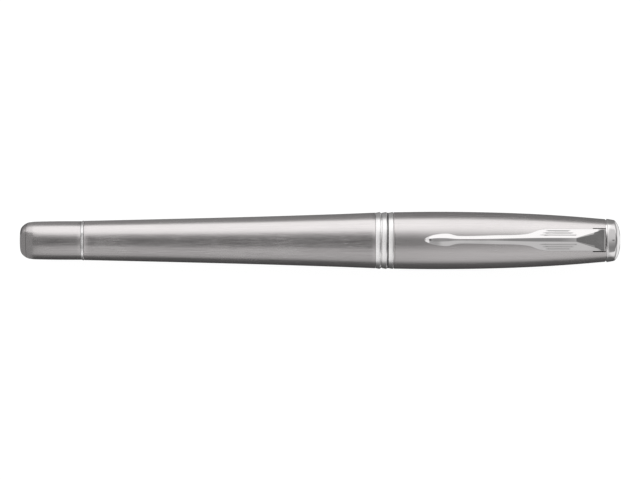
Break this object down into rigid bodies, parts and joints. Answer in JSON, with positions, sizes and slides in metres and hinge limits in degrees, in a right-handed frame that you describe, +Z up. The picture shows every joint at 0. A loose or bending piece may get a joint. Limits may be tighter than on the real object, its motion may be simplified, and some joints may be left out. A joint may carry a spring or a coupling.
{
  "type": "rollerball pen",
  "caption": "Capped metal rollerball pen: flared barrel, slim tail sleeve, pull-off cap with a spring clip, screw-in grip section and sprung stick refill.",
  "frame": {"origin": "on the table under the middle of the capped pen's overall length", "axes": "+X along the pen from tail to crown, +Z up through the clip, +Y across the pen"},
  "size_m": [0.1376, 0.0132, 0.0148],
  "materials": {
    "satin_metal": "fine brushed satin",
    "chrome": "polished chrome plate",
    "gloss_black": "polished black",
    "black_plastic": "moulded, matte",
    "brass": "turned",
    "spring_steel": "drawn and turned steel",
    "rubber": "matte nitrile",
    "carbide": "lapped hard metal",
    "refill_plastic": "moulded, semi-gloss",
    "ink_fibre": "ink-soaked fibre"
  },
  "bodies": {
    "barrel": {"barrel_tube": "satin_metal", "tail_sleeve": "satin_metal", "tail_plug": "satin_metal", "tail_ring": "chrome", "barrel_thread_bush": "brass", "barrel_mouth_ring": "chrome"},
    "spring": {"refill_spring": "spring_steel"},
    "refill": {"refill_tube": "refill_plastic", "refill_end_plug": "black_plastic", "ink_reservoir": "ink_fibre", "refill_feed": "black_plastic", "feed_wick": "ink_fibre", "tip_cone": "spring_steel"},
    "ball": {"writing_ball": "carbide"},
    "section_seal": {"section_o_ring": "rubber"},
    "section": {"section_thread_collar": "black_plastic", "section_flange_ring": "chrome", "grip_sleeve": "gloss_black", "nose_cone": "chrome"},
    "catch_ring": {"cap_catch_ring": "spring_steel"},
    "cap": {"cap_tube": "satin_metal", "cap_lip_ring": "chrome", "cap_lip_inlay": "gloss_black", "inner_cap": "black_plastic", "clip_ring": "chrome", "clip_screw": "spring_steel", "crown": "chrome"},
    "clip": {"clip_arm": "chrome"}
  },
  "joints": [
    {"name": "spring_extend", "type": "slide", "parent": "barrel", "child": "spring", "axis": [1, 0, 0], "range_m": [0, 0.006], "deforming": ["refill_spring"]},
    {"name": "refill_pull_out", "type": "slide", "parent": "spring", "child": "refill", "axis": [1, 0, 0], "range_m": [0, 0.075]},
    {"name": "ball_roll", "type": "hinge", "parent": "refill", "child": "ball", "pos_m": [0.0521, 0, 0.00659], "axis": [0, 1, 0], "continuous": true},
    {"name": "section_pull_off", "type": "slide", "parent": "refill", "child": "section_seal", "axis": [1, 0, 0], "range_m": [0, 0.055]},
    {"name": "section_turn", "type": "hinge", "parent": "section_seal", "child": "section", "pos_m": [0.01315, 0, 0.00659], "axis": [1, 0, 0], "range_deg": [0, 2700]},
    {"name": "cap_pull_off", "type": "slide", "parent": "section", "child": "catch_ring", "axis": [1, 0, 0], "range_m": [0, 0.045]},
    {"name": "cap_twist", "type": "hinge", "parent": "catch_ring", "child": "cap", "pos_m": [0.01985, 0, 0.00659], "axis": [1, 0, 0], "continuous": true},
    {"name": "clip_flex", "type": "hinge", "parent": "cap", "child": "clip", "pos_m": [0.06465, 0, 0.01154], "axis": [0, 1, 0], "range_deg": [0, 3.5], "stiffness_Nm_per_rad": 2.5, "springref_deg": -1.15}
  ],
  "couplings": [
    {"joint": "section_turn", "follows": "spring_extend", "rad_per_m": 7854}
  ]
}
